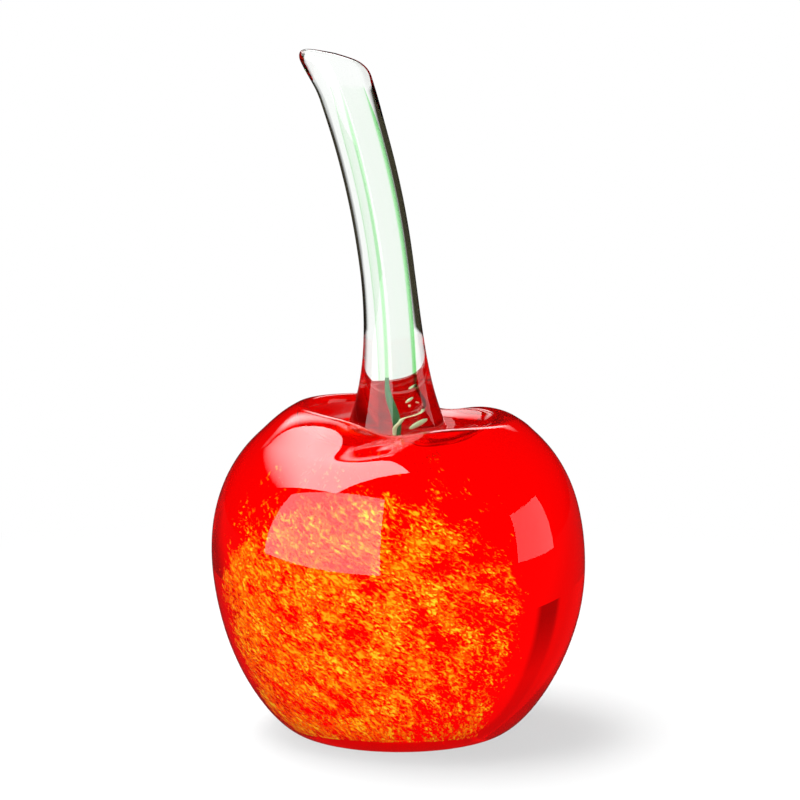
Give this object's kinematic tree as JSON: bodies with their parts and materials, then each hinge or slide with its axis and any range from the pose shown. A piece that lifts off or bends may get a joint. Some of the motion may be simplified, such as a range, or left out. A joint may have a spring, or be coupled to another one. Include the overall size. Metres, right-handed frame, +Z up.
{
  "type": "glass cherry",
  "caption": "Cherry-shaped glass ornament: ruby fruit cased in clear glass with orange and yellow flecks, on a flat ground base, with a bent clear stem that holds green threads.",
  "frame": {"origin": "centre of the flat ground base, on the surface that the ornament stands on", "axes": "+Z up through the fruit towards the stem; the stem leans towards -X; -Y is the front that the picture shows"},
  "size_m": [0.1, 0.1, 0.1824],
  "materials": {
    "clear_glass": "fire-polished, clear",
    "ruby_glass": "transparent red, seen through the casing",
    "orange_glass": "crushed frit drawn out to flecks",
    "yellow_glass": "crushed frit drawn out to flecks",
    "green_glass": "transparent green thread"
  },
  "bodies": {
    "root": {"clear_casing": "clear_glass", "ruby_core": "ruby_glass", "orange_frit_veil": "orange_glass", "yellow_frit_veil": "yellow_glass", "stem_casing": "clear_glass", "stem_core": "clear_glass", "green_cane_left": "green_glass", "green_cane_middle": "green_glass", "green_cane_right": "green_glass"}
  },
  "joints": []
}
